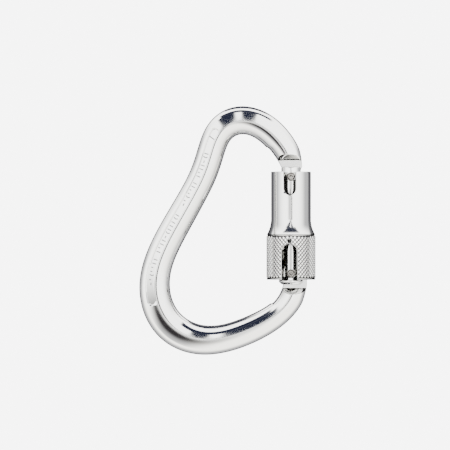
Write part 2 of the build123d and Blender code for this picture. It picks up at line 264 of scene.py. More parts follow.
def finishes():
    """Every finish of the carabiner, by the name of its material."""
    made = bpy.data.materials
    if "aluminium_polished" in made:
        return made
    look, sleeve = bpy.context.scene.carabiner_finishes, bpy.context.scene.carabiner_sleeve
    # Forged aluminium, polished and clear anodised: a soft mirror with faint waves.
    metal("aluminium_polished", look.aluminium, 0.07, 0.012, 0.0005, EVEN, 1.6)
    # Turned aluminium: a mirror blurred by fine lathe lines round the axis.
    metal("aluminium_turned", look.aluminium, 0.12, 0.03, 0.0008, LATHE, 0.15)
    # Knurled aluminium: the same, with painted shade darkening the grooves between bright diamonds.
    metal("aluminium_knurled", look.aluminium, 0.12, 0.03, 0.0008, LATHE, 0.18,
          grooves=(sleeve.grip, sleeve.grip + 0.9 * sleeve.knurl))
    # Stainless steel, headed cold: duller and warmer than the aluminium round it.
    metal("steel_headed", look.steel, 0.3, 0.06, 0.004, EVEN, 0.25)
    # Drawn spring wire: a dull, slightly blue grey.
    metal("steel_wire", look.spring, 0.32, 0.06, 0.002, EVEN, 0.2)
    # Ground steel: a frosted flat with a soft highlight.
    metal("steel_ground", look.steel, 0.26, 0.05, 0.003, EVEN, 0.2)
    # Turned brass: warm yellow with lathe lines.
    metal("brass_turned", look.brass, 0.25, 0.05, 0.002, (0.05, 0.05, 1), 0.15)
    # Laser etched aluminium: a matt grey that stands out from the polished panel.
    metal("aluminium_etched", look.etched, 0.5, 0.05, 0.01, EVEN, 0.12)
    # Moulded acetal: a dense black with a slightly waxy sheen.
    plastic("acetal_black", look.acetal, 0.45, 0.3)
    return made


# Surfaces


CREASE = np.radians(28)


def put_mesh(name, points, faces, sharp=CREASE):
    """A mesh object from points in mm and faces, smooth except at edges sharper than sharp."""
    mesh = bpy.data.meshes.new(name)
    mesh.from_pydata((np.asarray(points) * MM).tolist(), [], faces)
    mesh.validate()
    mesh.shade_smooth()
    mesh.set_sharp_from_angle(angle=sharp)
    piece = bpy.data.objects.new(name, mesh)
    bpy.context.scene.collection.objects.link(piece)
    return piece


def solid(name, points, faces, sharp=CREASE, mixed=False):
    """A closed piece from points in mm from the hinge pin, with all its faces turned outwards.

    Mixed faces are first made to agree. All of them turn if the volume they enclose is negative.
    """
    piece = put_mesh(name, np.reshape(points, (-1, 3)) + PIVOT, faces, sharp)
    mesh = piece.data
    built = bmesh.new()
    built.from_mesh(mesh)
    if mixed:
        bmesh.ops.recalc_face_normals(built, faces=built.faces)
        built.to_mesh(mesh)
    if built.calc_volume(signed=True) < 0:
        mesh.flip_normals()
    built.free()
    return piece


def grid_faces(rows, columns, first=0, close_rows=False, close_columns=True):
    """Quads between the points of a grid, numbered row by row from first."""
    numbers = first + np.arange(rows * columns).reshape(rows, columns)
    if close_rows:
        numbers = np.vstack([numbers, numbers[:1]])
    if close_columns:
        numbers = np.hstack([numbers, numbers[:, :1]])
    corners = (numbers[:-1, :-1], numbers[:-1, 1:], numbers[1:, 1:], numbers[1:, :-1])
    return np.stack(corners, axis=-1).reshape(-1, 4).tolist()


def tube_faces(rows, columns):
    """The faces of a closed tube: the grid's quads and one cap at each end."""
    caps = [list(range(columns))[::-1], list(range((rows - 1) * columns, rows * columns))]
    return grid_faces(rows, columns) + caps


def polar(radius, angle, height):
    """Points (r cos a, r sin a, z) from numbers or arrays of the three."""
    return np.stack(np.broadcast_arrays(radius * np.cos(angle), radius * np.sin(angle), height), -1)


def rounded(corners, steps=4):
    """A profile through corners (r, z, reach): a quadratic curve rounds each inner corner.

    The curve touches both sides at the reach from the corner, which is its control point.
    """
    corners = np.array(corners, float)
    points = [corners[0, :2]]
    for before, here, after in zip(corners[:-2], corners[1:-1], corners[2:]):
        one, two = before[:2] - here[:2], after[:2] - here[:2]
        reach = min(here[2], 0.45 * np.hypot(*one), 0.45 * np.hypot(*two))
        if reach < 1e-6:
            points.append(here[:2])
            continue
        start = here[:2] + one / np.hypot(*one) * reach
        end = here[:2] + two / np.hypot(*two) * reach
        t = np.linspace(0, 1, steps + 1)[:, None]
        points.extend((1 - t) ** 2 * start + 2 * t * (1 - t) * here[:2] + t ** 2 * end)
    points.append(corners[-1, :2])
    return np.array(points)


def refined(profile, step):
    """The same profile with points no further apart than step."""
    pieces = []
    for here, after in zip(profile[:-1], profile[1:]):
        count = max(1, int(np.ceil(np.hypot(*(after - here)) / step)))
        pieces.append(here + np.linspace(0, 1, count, endpoint=False)[:, None] * (after - here))
    return np.vstack([*pieces, profile[-1:]])


def turned(name, profile, segments, placed=None):
    """A profile (r, z) turned about the gate's axis: (r cos a, r sin a, z).

    A profile that starts and ends on the axis is closed by a pole at each end; any other is a
    closed loop and makes a ring. placed is a turn and a shift that lay the axis elsewhere.
    """
    profile = np.asarray(profile, float)
    poles = profile[0, 0] < 1e-9 and profile[-1, 0] < 1e-9
    body = profile[1:-1] if poles else profile
    angle = np.linspace(0, 2 * np.pi, segments, endpoint=False)
    points = polar(body[:, :1], angle, body[:, 1:]).reshape(-1, 3)
    faces = grid_faces(len(body), segments, close_rows=not poles)
    if poles:
        ring, top, first = np.arange(segments), (len(body) - 1) * segments, len(points)
        after = (ring + 1) % segments
        faces += np.c_[np.full(segments, first), after, ring].tolist()
        faces += np.c_[np.full(segments, first + 1), ring + top, after + top].tolist()
        points = np.vstack([points, (0, 0, profile[0, 1]), (0, 0, profile[-1, 1])])
    if placed:
        points = points @ np.transpose(placed[0]) + placed[1]
    return solid(name, points, faces)


def across(height):
    """The turn and shift that lay an axis across the gate, front to back, at a height."""
    return [[1, 0, 0], [0, 0, -1], [0, 1, 0]], (0, 0, height)


def slab(name, outline, low, high):
    """A cutter: an outline (x, z) from the hinge pin, between two depths."""
    layers = [[(x, y, z) for x, z in outline] for y in (low, high)]
    return solid(name, layers, tube_faces(2, len(outline)))


def round_cutter(name, outline, depths, spread, turn, reference):
    """A cutter through the sleeve's wall: outline (arc, z) carried to several distances r.

    A point is (r cos a, r sin a, z), where a is the turn plus the arc over the reference radius.
    The outline grows by spread at each distance, so that the cut has a small chamfer.
    """
    middle = (outline.min(axis=0) + outline.max(axis=0)) / 2
    half = (outline.max(axis=0) - outline.min(axis=0)) / 2
    layers = []
    for depth, grow in zip(depths, spread):
        grown = middle + (outline - middle) * (1 + grow / half)
        layers.append(polar(depth, turn + grown[:, 0] / reference, grown[:, 1]))
    return solid(name, layers, tube_faces(len(depths), len(outline)))


def cut(piece, *cutters, sharp=CREASE):
    """Takes the cutters away from a piece and removes them; edges over sharp stay sharp."""
    for cutter in cutters:
        modifier = piece.modifiers.new("cut", "BOOLEAN")
        modifier.operation = "DIFFERENCE"
        modifier.solver = "EXACT"
        modifier.object = cutter
    graph = bpy.context.evaluated_depsgraph_get()
    made = bpy.data.meshes.new_from_object(piece.evaluated_get(graph))
    if len(made.polygons) < 4:
        raise RuntimeError(f"nothing is left of {piece.name}")
    piece.modifiers.clear()
    piece.data = made
    made.shade_smooth()
    made.set_sharp_from_angle(angle=sharp)
    for cutter in cutters:
        bpy.data.objects.remove(cutter)


def settle(piece, body, node, material):
    """Gives a finished piece its material and its body, and hides the CAD node it stands for."""
    piece.data.materials.append(finishes()[material])
    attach(piece, body)
    if node:
        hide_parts(node)


# Bar

FIT_STEP, LINE_STEP = 0.5, 0.2
FAIRNESS, END_WEIGHT = 300.0, 40.0  # how smooth the middle line is, and how firmly its ends are held
BOX_MARGIN = 0.03  # keeps the bar's sides inside the CAD box
TANG_REACH = 12  # the milling ends nearer than this to either end of the middle line
NOSE_SHOULDER, HINGE_SHOULDER, SHOULDER_RISE = 53.0, -6.8, 3.0
HOOK_TIP, HOOK_ROUND, HOOK_GAP = 40.6, 1.2, 0.1
CAM_OFFSET, CAM_RADIUS, HEEL = 2.0, 4.6, 7.5
PANEL_SPAN = (46.0, 134.0)  # from the nose, along the middle line
PANEL_ACROSS = (0.56, -0.02)  # outer and inner edge, as parts of the half width
PANEL_WALL = 0.3


@functools.cache
def bar_line():
    """The bar's middle line: places along it, points (x, z), widths and directions.

    It is a smoothing spline: of all lines, the one that keeps near the stations with the
    smallest third difference, which is one set of linear equations for the points.
    """
    along = np.r_[0, np.cumsum(np.hypot(*np.diff(STATIONS[:, :2], axis=0).T))]
    count = int(along[-1] / FIT_STEP) + 1
    nearest = np.rint(along / along[-1] * (count - 1)).astype(int)
    weight = np.zeros(count)
    weight[nearest] = 1.0
    weight[nearest[[0, -1]]] = END_WEIGHT
    target = np.zeros((count, 3))
    target[nearest] = STATIONS
    bend = np.diff(np.eye(count), 3, axis=0)
    fairness = FAIRNESS / FIT_STEP ** 5
    line = np.linalg.solve(np.diag(weight) + fairness * bend.T @ bend, weight[:, None] * target)
    ahead = np.gradient(line[:, :2], axis=0)
    place = np.arange(0, (count - 1) * FIT_STEP, LINE_STEP)
    fine = [np.interp(place, FIT_STEP * np.arange(count), values) for values in np.c_[line, ahead].T]
    ahead = np.stack(fine[3:], axis=-1)
    return place, np.stack(fine[:2], axis=-1), fine[2], ahead / np.hypot(*fine[3:])[:, None]


def ease(value, start, end):
    """0 before start, 1 after end, and a smooth cubic between."""
    t = np.clip((value - start) / (end - start), 0, 1)
    return t * t * (3 - 2 * t)


def bar_rows(sizes):
    """Sections of the bar as ends and thickness: rope side (x, z), back (x, z), limit, place.

    A section stands square to the middle line, and turns level towards the two tangs, so that
    each milled edge lies along a section. The limit is the half thickness left by milling.
    """
    place, middle, width, ahead = bar_line()
    square = np.c_[ahead[:, 1], -ahead[:, 0]]
    level = 1 - ease(np.minimum(place, place[-1] - place), 8.0, 17.0)
    outward = (1 - level[:, None]) * square + level[:, None] * np.array((1.0, 0.0))
    outward /= np.hypot(*outward.T)[:, None]
    reach = ((width / 2 - BOX_MARGIN) / (outward * square).sum(axis=1))[:, None] * outward
    height = middle[:, 1]
    slope = (sizes.depth - sizes.nose_tang) / 2 / SHOULDER_RISE
    limit = np.full(len(place), sizes.depth / 2)
    nose, hinge = place < TANG_REACH, place > place[-1] - TANG_REACH
    limit[nose] = sizes.nose_tang / 2 + np.clip(height[nose] - NOSE_SHOULDER, 0, None) * slope
    limit[hinge] = sizes.hinge_tang / 2 + np.clip(HINGE_SHOULDER - height[hinge], 0, None) * slope
    limit = np.minimum(limit, sizes.depth / 2)
    near_end = (np.abs(place[:, None] - PANEL_SPAN) < 1.5).any(axis=1)
    keep = (place < 9) | (place > place[-1] - 7) | near_end | (np.arange(len(place)) % 2 == 0)
    rope, back = middle - reach, middle + reach
    return rope[keep], back[keep], limit[keep], place[keep]


def hook_rows(latch, rivet):
    """Level sections of the hook below the bar: heights, inner x and outer x.

    The pocket's bottom is a circle round the latch rivet; its mouth is two level steps. The tip
    is rounded by a quarter circle on both sides.
    """
    pocket = rivet + HOOK_GAP
    height = np.unique(np.r_[np.arange(HOOK_TIP, 49.7, 0.16),
                             latch + pocket * np.sin(np.linspace(-1.57, 1.57, 25)),
                             HOOK_TIP + HOOK_ROUND * np.array((0, 0.02, 0.08, 0.2))])[::-1]
    outer = np.interp(height, (HOOK_TIP, 47.6, 49.8), (4.2, 4.2, 5.1))
    inner = np.interp(height, (HOOK_TIP, 42.2, 48.2, 50.2), (-0.9, -1.9, -1.9, -4.5))
    short = HOOK_ROUND - np.clip(height - HOOK_TIP, 0, HOOK_ROUND)
    round_off = HOOK_ROUND - np.sqrt(HOOK_ROUND ** 2 - short ** 2)
    outer -= round_off
    inner += round_off
    inside = np.flatnonzero(abs(height - latch) <= pocket)
    ends = inside[[0, -1]]
    lip, mouth = ends + (0, 1), inner[ends]
    inner[inside] = np.sqrt(np.clip(pocket ** 2 - (height[inside] - latch) ** 2, 0, None))
    return [np.insert(row, lip, edge)
            for row, edge in ((height, height[ends]), (inner, mouth), (outer, outer[ends]))]


def hinge_rows():
    """Level sections of the hinge tang above the bar: heights, inner x and outer x.

    The inner side runs into a circle round the cam's centre, and the outer side up the heel.
    """
    rise = np.linspace(0, 1, 60)[1:] ** 0.8
    height = -5.0 + (CAM_RADIUS - 0.004 + 5.0) * rise
    cam = np.sqrt(np.clip(CAM_RADIUS ** 2 - height ** 2, 0, None))
    cam_start = -CAM_OFFSET - np.sqrt(CAM_RADIUS ** 2 - 2.6 ** 2)
    inner = np.where(height > -2.6, -CAM_OFFSET - cam,
                     np.interp(height, (-5.2, -2.6), (-3.8, cam_start)))
    outer = np.interp(height, (-5.2, 0, 3.2, 4.0), (HEEL, HEEL, 5.6, 0))
    outer = np.where(height > 4.0, -CAM_OFFSET + cam, np.maximum(outer, -CAM_OFFSET + cam))
    return height, inner, outer


def face_shape(half, sizes):
    """Ridge, back radius, run, fall and end tilt of the outer face, for each half width.

    The outer face is a parabola, level at the ridge, that meets the arc of the back edge at the
    same tilt. The tilt sets where they meet, so it is found in a few rounds.
    """
    ridge = sizes.ridge * half
    radius = np.minimum(sizes.back_round, 0.8 * half)
    tilt = 0.25
    for _ in range(5):
        run = half - radius * (1 - np.sin(tilt)) - ridge
        fall = np.minimum(sizes.face_fall, 0.2 * run)
        tilt = np.arctan(2 * fall / run)
    return ridge, radius, run, fall, tilt


def face_height(across, half, sizes):
    """Height of the outer face at a place across it."""
    ridge, _, run, fall, _ = face_shape(half, sizes)
    return sizes.depth / 2 - fall * ((across - ridge) / run) ** 2


def panel_height(across, half, sizes):
    """Height of the panel's bottom, a plane between its two edges, below the outer face."""
    outer, inner = (edge * half for edge in PANEL_ACROSS)
    one, two = (face_height(edge, half, sizes) for edge in (inner, outer))
    return one + (two - one) * (across - inner) / (outer - inner) - sizes.panel_depth


def section_points(half, limit, place, sizes):
    """Across and out for every section of the bar, from the back over the front to the rope side.

    The back edge is an arc, the outer face rises from it along a parabola to the ridge, and the
    rope side is a quarter of an ellipse. All of it is cut off at the limit. The panel is a plane
    below the outer face.
    """
    half, limit, place = half[:, None], limit[:, None], place[:, None]
    top = sizes.depth / 2
    ridge, radius, _, fall, tilt = face_shape(half, sizes)
    centre = top - fall - radius * np.cos(tilt)
    back_top = np.minimum(top - fall, limit)
    turn = np.clip(np.arcsin(np.clip((back_top - centre) / radius, -1, np.cos(tilt))), 0.3, None)
    start = back_top - radius * np.sin(turn)
    t = np.array((0, 0.5))[None]
    back_x, back_y = half + 0 * t, start * t
    t = np.linspace(0, 1, 9)[None]
    arc_x = half - radius * (1 - np.cos(turn * t))
    arc_y = start + radius * np.sin(turn * t)
    first = np.arccos(np.clip(np.minimum(top, limit) / top, 0, 1))
    angle = first + (np.pi / 2 - first) * np.linspace(0, 1, 19)[None]
    rope_x = ridge - (ridge + half) * np.sin(angle)
    rope_y = top * np.cos(angle)
    rope_y[:, -1] = 0
    t = np.r_[0.05, 0.1, 0.15, 0.2, 0.3, np.linspace(0.4, 0.85, 6), 0.89, 0.92, 0.95, 0.98][None]
    flat_x = arc_x[:, -1:] + t * (rope_x[:, :1] - arc_x[:, -1:])
    flat_y = np.minimum(face_height(flat_x, half, sizes), limit)
    outer, inner = (edge * half for edge in PANEL_ACROSS)
    aside = np.maximum(flat_x - outer, inner - flat_x)
    beyond = np.maximum(PANEL_SPAN[0] - place, place - PANEL_SPAN[1])
    corner = 1.6
    outside = np.hypot(np.clip(aside + corner, 0, None), np.clip(beyond + corner, 0, None)) - corner
    outside = np.maximum(outside, np.minimum(np.maximum(aside, beyond), 0))
    deep = 1 - ease(outside, -PANEL_WALL, 0)
    flat_y = flat_y + deep * (panel_height(flat_x, half, sizes) - flat_y)
    return (np.hstack([back_x, arc_x, flat_x, rope_x]), np.hstack([back_y, arc_y, flat_y, rope_y]))


def build_bar(sizes, gate):
    """The whole bar with its hook and hinge tang, as one closed surface of section and place."""
    rope, back, limit, place = bar_rows(sizes)
    hook_z, hook_in, hook_out = hook_rows(gate.latch, gate.rivet)
    hinge_z, hinge_in, hinge_out = hinge_rows()
    rope = np.vstack([np.c_[hook_in, hook_z][::-1], rope, np.c_[hinge_in, hinge_z]])
    back = np.vstack([np.c_[hook_out, hook_z][::-1], back, np.c_[hinge_out, hinge_z]])
    limit = np.r_[np.full(len(hook_z), sizes.nose_tang / 2), limit,
                  np.full(len(hinge_z), sizes.hinge_tang / 2)]
    place = np.r_[np.full(len(hook_z), -1.0), place, np.full(len(hinge_z), place[-1] + 1)]
    middle, along = (rope + back) / 2, back - rope
    length = np.hypot(*along.T)
    across, out = section_points(length / 2, limit, place, sizes)
    across = np.hstack([across, across[:, -2:0:-1]])
    out = np.hstack([-out, out[:, -2:0:-1]])
    flat = middle[:, None] + across[:, :, None] * (along / length[:, None])[:, None]
    points = np.stack([flat[..., 0], out, flat[..., 1]], axis=-1)
    return solid("body_bar", points, tube_faces(*points.shape[:2]), np.radians(32))


# Operators


class CARABINER_OT_body(bpy.types.Operator):
    """The bent bar with its hook and hinge tang"""

    bl_idname = "carabiner.body"
    bl_label = "Bar"

    def execute(self, context):
        piece = build_bar(context.scene.carabiner_bar, context.scene.carabiner_gate)
        settle(piece, "root", "body", "aluminium_polished")
        return {"FINISHED"}


class CARABINER_OT_gate(bpy.types.Operator):
    """The turned gate barrel, slotted from both ends and bored"""

    bl_idname = "carabiner.gate"
    bl_label = "Gate barrel"

    def execute(self, context):
        sizes, bar = context.scene.carabiner_gate, context.scene.carabiner_bar
        bore, bore_top, slot_floor, slot_top, room = 2.9, 30.0, 38.4, 6.6, 0.3
        profile = refined(rounded([
            (0, bore_top + 1.2, 0), (bore, bore_top, 0.05), (bore, sizes.foot, 0.15),
            (4.8, sizes.foot, 0.3), (6.06, -3.9, 0.3), (6.06, -3.25, 0.3), (5.45, -2.4, 0.6),
            (sizes.radius, -1.4, 1.2), (sizes.radius, 35.06, 0.05), (4.4, 35.06, 0), (4.4, 35.94, 0),
            (sizes.radius, 35.94, 0.05), (sizes.radius, sizes.top, 0.6), (0, sizes.top, 0),
        ]), 6.0)
        piece = turned("gate_barrel_turned", profile, sizes.segments)
        wide = 3 * sizes.radius
        cutters = [
            slab(name, [(-wide, low), (wide, low), (wide, high), (-wide, high)],
                 -tang / 2 - room, tang / 2 + room)
            for name, low, high, tang in (("nose_slot", slot_floor, 60, bar.nose_tang),
                                          ("hinge_slot", -20, slot_top, bar.hinge_tang))]
        for height in (0, sizes.latch):
            half = [(sizes.rivet + 0.02, 4.1), (2.1, 4.4), (2.2, 8), (0, 8)]
            hole = [(r, -depth) for r, depth in half[::-1]] + half
            cutters.append(turned("rivet_hole", hole, 48, across(height)))
        cut(piece, *cutters)
        settle(piece, "gate", "gate_barrel", "aluminium_turned")
        return {"FINISHED"}


class CARABINER_OT_rivets(bpy.types.Operator):
    """The hinge rivet and the latch rivet, with cupped heads"""

    bl_idname = "carabiner.rivets"
    bl_label = "Rivets"

    def execute(self, context):
        sizes = context.scene.carabiner_gate
        r, end = sizes.rivet, 4.9
        head = [(r - 0.02, end - 0.8, 0.1), (r + 0.3, end - 0.5, 0.1), (1.3, end - 0.03, 0.1),
                (0.9, end, 0.15), (0.3, end - 0.48, 0.2), (0, end - 0.5, 0)]
        profile = rounded([(out, -depth, bend) for out, depth, bend in head[::-1]] + head)
        for node, height in (("hinge_rivet", 0), ("latch_rivet", sizes.latch)):
            piece = turned(node + "_set", profile, 64, across(height))
            settle(piece, "gate", node, "steel_headed")
        return {"FINISHED"}


PLUNGER_FOOT, PLUNGER_DISC = CAM_RADIUS + 0.02, 4.5  # clear of the cam, and the disc's thickness


class CARABINER_OT_plunger(bpy.types.Operator):
    """The plunger that pushes on the cam and closes the gate"""

    bl_idname = "carabiner.plunger"
    bl_label = "Closing plunger"

    def execute(self, context):
        foot, ledge, end = PLUNGER_FOOT, PLUNGER_FOOT + PLUNGER_DISC, PLUNGER_FOOT + 10.5
        profile = rounded([(0, foot, 0), (2.84, foot, 0.25), (2.84, ledge, 0.25),
                           (1.3, ledge, 0.15), (1.3, end, 0.4), (0, end, 0)])
        piece = turned("closing_plunger_turned", profile, 96)
        settle(piece, "plunger", "closing_plunger", "brass_turned")
        return {"FINISHED"}


def coil(name, bottom, top, turns, wire, radius):
    """A spring: a circle of the wire carried up a helix whose end turns lie closed.

    The helix is (R cos a, R sin a, z). Its rise per turn is one wire's diameter in the first
    and last turn and even between them.
    """
    turn = np.linspace(0, turns, int(turns * 40) + 1)[:, None]
    closed = 2.04 * wire
    last = top - bottom - 2 * wire
    rise = np.interp(turn, (0, 1, turns - 1, turns), (0, closed, last - closed, last))
    round_wire = np.linspace(0, 2 * np.pi, 12, endpoint=False)
    points = polar(radius + wire * np.cos(round_wire), 2 * np.pi * turn,
                   bottom + wire + rise + wire * np.sin(round_wire))
    return solid(name, points, tube_faces(*points.shape[:2]))


class CARABINER_OT_springs(bpy.types.Operator):
    """The compression spring behind the plunger and the torsion spring in the sleeve"""

    bl_idname = "carabiner.springs"
    bl_label = "Springs"

    def execute(self, context):
        foot, top = PLUNGER_FOOT + PLUNGER_DISC, 29.9
        closing = coil("closing_spring_wound", foot, top, 11, 0.4, 2.25)
        settle(closing, "gate", "closing_spring", "steel_wire")
        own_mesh(closing)
        turning = coil("sleeve_spring_wound", 17.2, 29.8, 8, 0.55, 6.7)
        settle(turning, "gate", "sleeve_spring", "steel_wire")
        return {"FINISHED"}


RIB_FOOT, RIB_TOP, RIB_BORE = 31.0, 33.0, 6.3  # the rib inside the sleeve
NOTCH_FOOT, NOTCH_WIDTH, GAP_ANGLES = 36.7, 6.3, (1.3, 106)  # cuts in the sleeve's upper rim
ARCH_TOP, ARCH_WIDTH, SKIRT_TOP = 13.8, 7.8, 13.9
HOLE_HEIGHT, HOLE_RADIUS = 15.2, 0.95
ABOVE, BELOW = 60, -8  # cutters end well outside the sleeve


class CARABINER_OT_rings(bpy.types.Operator):
    """The two bushes, the thrust washer, the snap ring and the dowel"""

    bl_idname = "carabiner.rings"
    bl_label = "Rings and dowel"

    def execute(self, context):
        gate, sleeve = context.scene.carabiner_gate, context.scene.carabiner_sleeve
        outer, turn = sleeve.bore - 0.08, sleeve.turn
        rings = (
            ("lower_bush", 14.1, 17.1, gate.radius, outer, 0.35, "bush_plastic", "acetal_black"),
            ("upper_bush", 33.1, 35.0, gate.radius, outer, 0.35, "bush_plastic", "acetal_black"),
            ("thrust_washer", 29.9, 30.9, gate.radius + 0.08, 8.1, 0.12, "washer_steel", "steel_ground"),
            ("retaining_ring", 35.1, 35.9, 4.4, 6.2, 0.1, "spring_steel", "steel_wire"),
        )
        for node, low, high, inside, outside, edge, slot, material in rings:
            middle = (inside + outside) / 2
            loop = rounded([(middle, low, 0), (outside, low, edge), (outside, high, edge),
                            (inside, high, edge), (inside, low, edge), (middle, low, 0)])
            piece = turned(node + "_turned", loop[:-1], 144)
            if node == "retaining_ring":
                cut(piece, wedge("gap", np.pi - 0.61, np.pi + 0.61, low - 1, high + 1, 0))
            settle(piece, "gate", node, material)
        lay = np.c_[(-np.sin(turn), np.cos(turn), 0), (0, 0, 1), (np.cos(turn), np.sin(turn), 0)]
        profile = rounded([(0, 3.05, 0), (0.75, 3.05, 0.1), (0.75, 8.25, 0.2), (0, 8.25, 0)])
        dowel = turned("bush_dowel_turned", profile, 32, (lay, (0, 0, HOLE_HEIGHT)))
        settle(dowel, "gate", "bush_dowel", "steel_headed")
        return {"FINISHED"}


KNURL_STEEP = 0.55  # height of half a diamond, as a part of its width


def knurled_tube(name, open_profile, low, high, sizes):
    """A turned sleeve whose grip is a diamond knurl, as one closed surface.

    The knurl's grooves cross at points (R, a, z) on a lattice: every second row is turned half
    a column. Between four crossings stands a diamond, one knurl height further out, whose flat
    top is the same diamond drawn in. The rest is the open profile turned, twice as fine.
    """
    columns = sizes.columns
    pitch = 2 * np.pi / columns
    rows = 2 * int(round((high - low) / (2 * KNURL_STEEP * pitch * sizes.grip)))
    step = (high - low) / rows
    angle = pitch * (np.arange(columns)[None] + 0.5 * (np.arange(rows + 1)[:, None] % 2))
    level = np.linspace(low, high, rows + 1)[:, None]
    valley = np.arange(angle.size).reshape(angle.shape)
    points = [polar(sizes.grip, angle, level).reshape(-1, 3)]
    middle, inner = angle[1:-1] + pitch / 2, level[1:-1]
    tops = []
    for aside, up in ((-1, 0), (0, -1), (1, 0), (0, 1)):
        tops.append(sum(map(len, points)) + np.arange(middle.size).reshape(middle.shape))
        points.append(polar(sizes.grip + sizes.knurl, middle + sizes.land * aside * pitch / 2,
                            inner + sizes.land * up * step).reshape(-1, 3))
    fine = np.linspace(0, 2 * np.pi, 2 * columns, endpoint=False)
    first_rest = sum(map(len, points))
    points.append(polar(open_profile[:, :1], fine, open_profile[:, 1:]).reshape(-1, 3))
    faces = np.stack(tops, axis=-1).reshape(-1, 4).tolist()
    for row in range(1, rows):
        above, below = (np.roll(valley[near], -(row % 2)) for near in (row + 1, row - 1))
        corners = (valley[row], below, np.roll(valley[row], -1), above)
        for side in range(4):
            after = (side + 1) % 4
            flank = corners[side], corners[after], tops[after][row - 1], tops[side][row - 1]
            faces += np.stack(flank, axis=-1).tolist()
    for row, near, start in ((0, 1, first_rest + (len(open_profile) - 1) * 2 * columns),
                             (rows, rows - 1, first_rest)):
        edge, after = valley[row], np.roll(valley[row], -1)
        ring = start + np.arange(2 * columns)
        even, odd, next_even = ring[::2], ring[1::2], np.roll(ring[::2], -1)
        for corners in ((edge, after, valley[near]), (edge, even, odd), (edge, odd, after),
                        (after, odd, next_even)):
            faces += np.stack(corners, axis=-1).tolist()
    faces += grid_faces(len(open_profile), 2 * columns, first=first_rest)
    return solid(name, np.vstack(points), faces, mixed=True)


def wedge(name, start, end, low, high, corner, reach=14.0, count=33):
    """A cutter: the sector from one angle to another, level by level from low to high.

    Below, its two sides draw in along a quarter circle, which rounds the corners of the cut.
    """
    dip = corner * (1 - np.cos(np.linspace(0, np.pi / 2, 9)))
    level = np.r_[low + dip, high]
    inset = corner - np.sqrt(np.clip(corner ** 2 - (corner - dip) ** 2, 0, None))
    inset = np.r_[inset, 0] / reach * 1.4
    layers = []
    for height, short in zip(level, inset):
        arc = polar(reach, np.linspace(start + short, end - short, count), height)
        layers.append(np.vstack([(0, 0, height), arc]))
    return solid(name, layers, tube_faces(len(layers), count + 1))


def arch(width, low, high, round_top=True, steps=24):
    """An outline (arc, z): straight sides with a half circle at the top, or at the bottom."""
    half = width / 2
    t = np.linspace(0, np.pi, steps + 1)
    bow = np.c_[half * np.cos(t), half * np.sin(t)]
    if round_top:
        return np.vstack([bow + (0, high - half), [(-half, low), (half, low)]])
    return np.vstack([bow * (1, -1) + (0, low + half), [(-half, high), (half, high)]])


class CARABINER_OT_sleeve(bpy.types.Operator):
    """The locking sleeve: neck, flare and knurled grip, with its notch, gap, arches and hole"""

    bl_idname = "carabiner.sleeve"
    bl_label = "Locking sleeve"

    def execute(self, context):
        sizes = context.scene.carabiner_sleeve
        grip, neck, turn = sizes.grip, sizes.neck, sizes.turn
        low, high = sizes.foot + 0.75, sizes.grip_top - 0.45
        reach = sizes.flare_top - sizes.grip_top
        shoulder = grip + 0.15
        bow = (reach ** 2 + (shoulder - neck) ** 2) / (2 * (shoulder - neck))
        climb = np.linspace(0, 1, 24)[:, None]
        flare = np.hstack([neck + bow - np.sqrt(bow ** 2 - (reach * (1 - climb)) ** 2),
                           sizes.grip_top + reach * climb])
        outside = refined(rounded([
            (grip, high + 0.05, 0), (grip - 0.25, high + 0.2, 0.05), (grip - 0.25, high + 0.32, 0.05),
            (shoulder - 0.15, sizes.grip_top - 0.08, 0.05), (*flare[0], 0)]), 3)
        inside = refined(rounded([
            (*flare[-1], 0), (neck, sizes.top, 0.45), (sizes.bore, sizes.top, 0.2),
            (sizes.bore, RIB_TOP, 0.1), (RIB_BORE, RIB_TOP, 0.15), (RIB_BORE, RIB_FOOT, 0.15),
            (sizes.bore, RIB_FOOT, 0.1), (sizes.bore, SKIRT_TOP, 0.1), (sizes.skirt, SKIRT_TOP, 0.1),
            (sizes.skirt, sizes.foot, 0.25), (grip + 0.1, sizes.foot, 0.5),
            (grip + 0.1, sizes.foot + 0.55, 0.1), (grip, low - 0.05, 0)]), 3)
        profile = np.vstack([outside[:-1], flare[:-1], inside])
        piece = knurled_tube("lock_sleeve_knurled", profile, low, high, sizes)
        ring = np.linspace(0, 2 * np.pi, 24, endpoint=False)
        hole = np.c_[HOLE_RADIUS * np.cos(ring), HOLE_HEIGHT + HOLE_RADIUS * np.sin(ring)]
        ledge = ((neck - 2.4, neck - 0.3, neck + 0.7, neck + 4), (0, 0, 1.0, 1.0))
        skirt = ((9.0, grip - 0.12, grip + 1.0, grip + 4), (0, 0, 1.12, 1.12))
        notch = arch(NOTCH_WIDTH, NOTCH_FOOT, ABOVE, round_top=False)
        opening = arch(ARCH_WIDTH, BELOW, ARCH_TOP)
        cut(piece,
            round_cutter("notch", notch, *ledge, turn, neck),
            wedge("gap", *np.radians(GAP_ANGLES), NOTCH_FOOT, ABOVE, 1.6),
            round_cutter("arch_front", opening, *skirt, turn, grip),
            round_cutter("arch_back", opening, *skirt, turn + np.pi, grip),
            round_cutter("hole", hole, (8.0, grip - 0.1, grip + 2), (0, 0, 0.2), turn, grip),
            sharp=np.radians(9))
        settle(piece, "sleeve", "lock_sleeve", "aluminium_knurled")
        return {"FINISHED"}


STROKE, PROUD, SPACING = 0.5, 0.015, 1.9  # a mark's width and height, and the space between them
MARKS_LOW, MARKS_HIGH = 0.7, 2.7  # where marks start and end across the panel


